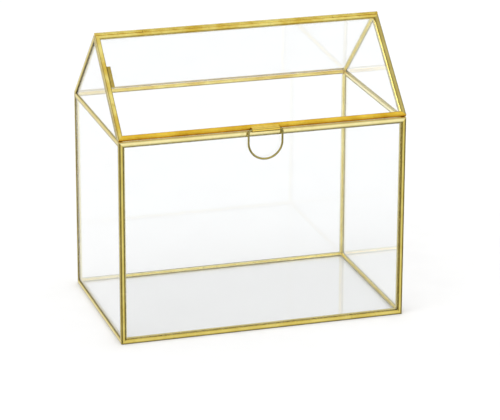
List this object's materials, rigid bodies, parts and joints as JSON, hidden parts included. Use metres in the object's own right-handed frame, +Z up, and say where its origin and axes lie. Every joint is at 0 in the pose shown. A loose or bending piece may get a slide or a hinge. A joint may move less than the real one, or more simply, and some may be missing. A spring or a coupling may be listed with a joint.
{
  "type": "card box",
  "caption": "House-shaped glass card box in slender brass bars, with a front roof slope that turns back on a ridge hinge and a D-shaped pull ring.",
  "frame": {"origin": "on the ground at the middle of the case", "axes": "+Z up, -Y out of the front where the pull ring hangs, +X to the right of someone facing the front"},
  "size_m": [0.21, 0.1331, 0.21],
  "materials": {
    "brass_bar": "satin",
    "brass_fittings": "polished",
    "clear_glass": "clear"
  },
  "bodies": {
    "case": {"base_front_rail": "brass_bar", "base_back_rail": "brass_bar", "base_left_rail": "brass_bar", "base_right_rail": "brass_bar", "front_left_post": "brass_bar", "front_right_post": "brass_bar", "back_left_post": "brass_bar", "back_right_post": "brass_bar", "front_eave_rail": "brass_bar", "back_eave_rail": "brass_bar", "left_eave_rail": "brass_bar", "right_eave_rail": "brass_bar", "left_front_rafter": "brass_bar", "right_front_rafter": "brass_bar", "left_back_rafter": "brass_bar", "right_back_rafter": "brass_bar", "ridge_rail": "brass_bar", "floor_pane": "clear_glass", "front_pane": "clear_glass", "back_pane": "clear_glass", "left_pane": "clear_glass", "right_pane": "clear_glass", "left_gable_pane": "clear_glass", "right_gable_pane": "clear_glass", "back_roof_pane": "clear_glass", "left_hinge_tube": "brass_fittings", "right_hinge_tube": "brass_fittings", "hinge_pin": "brass_fittings", "base_front_rail_inner_angle": "brass_bar", "base_back_rail_inner_angle": "brass_bar", "base_left_rail_inner_angle": "brass_bar", "base_right_rail_inner_angle": "brass_bar", "front_left_post_inner_angle": "brass_bar", "front_right_post_inner_angle": "brass_bar", "back_left_post_inner_angle": "brass_bar", "back_right_post_inner_angle": "brass_bar", "front_eave_inner_strip": "brass_bar", "back_eave_inner_angle": "brass_bar", "left_eave_inner_strip": "brass_bar", "right_eave_inner_strip": "brass_bar", "left_front_rafter_inner_strip": "brass_bar", "right_front_rafter_inner_strip": "brass_bar", "left_back_rafter_inner_angle": "brass_bar", "right_back_rafter_inner_angle": "brass_bar", "ridge_inner_strip": "brass_bar"},
    "lid": {"lid_top_rail": "brass_bar", "lid_bottom_rail": "brass_bar", "lid_left_stile": "brass_bar", "lid_right_stile": "brass_bar", "lid_pane": "clear_glass", "lid_pane_clip": "brass_fittings", "lid_hinge_tube": "brass_fittings", "ring_strap": "brass_fittings"},
    "ring": {"pull_ring": "brass_fittings"}
  },
  "joints": [
    {"name": "lid_hinge", "type": "hinge", "parent": "case", "child": "lid", "pos_m": [0, 0, 0.20875], "axis": [-1, 0, 0], "range_deg": [0, 175]},
    {"name": "ring_swing", "type": "hinge", "parent": "lid", "child": "ring", "pos_m": [0, -0.06659, 0.15009], "axis": [-1, 0, 0], "range_deg": [-3, 205]}
  ]
}
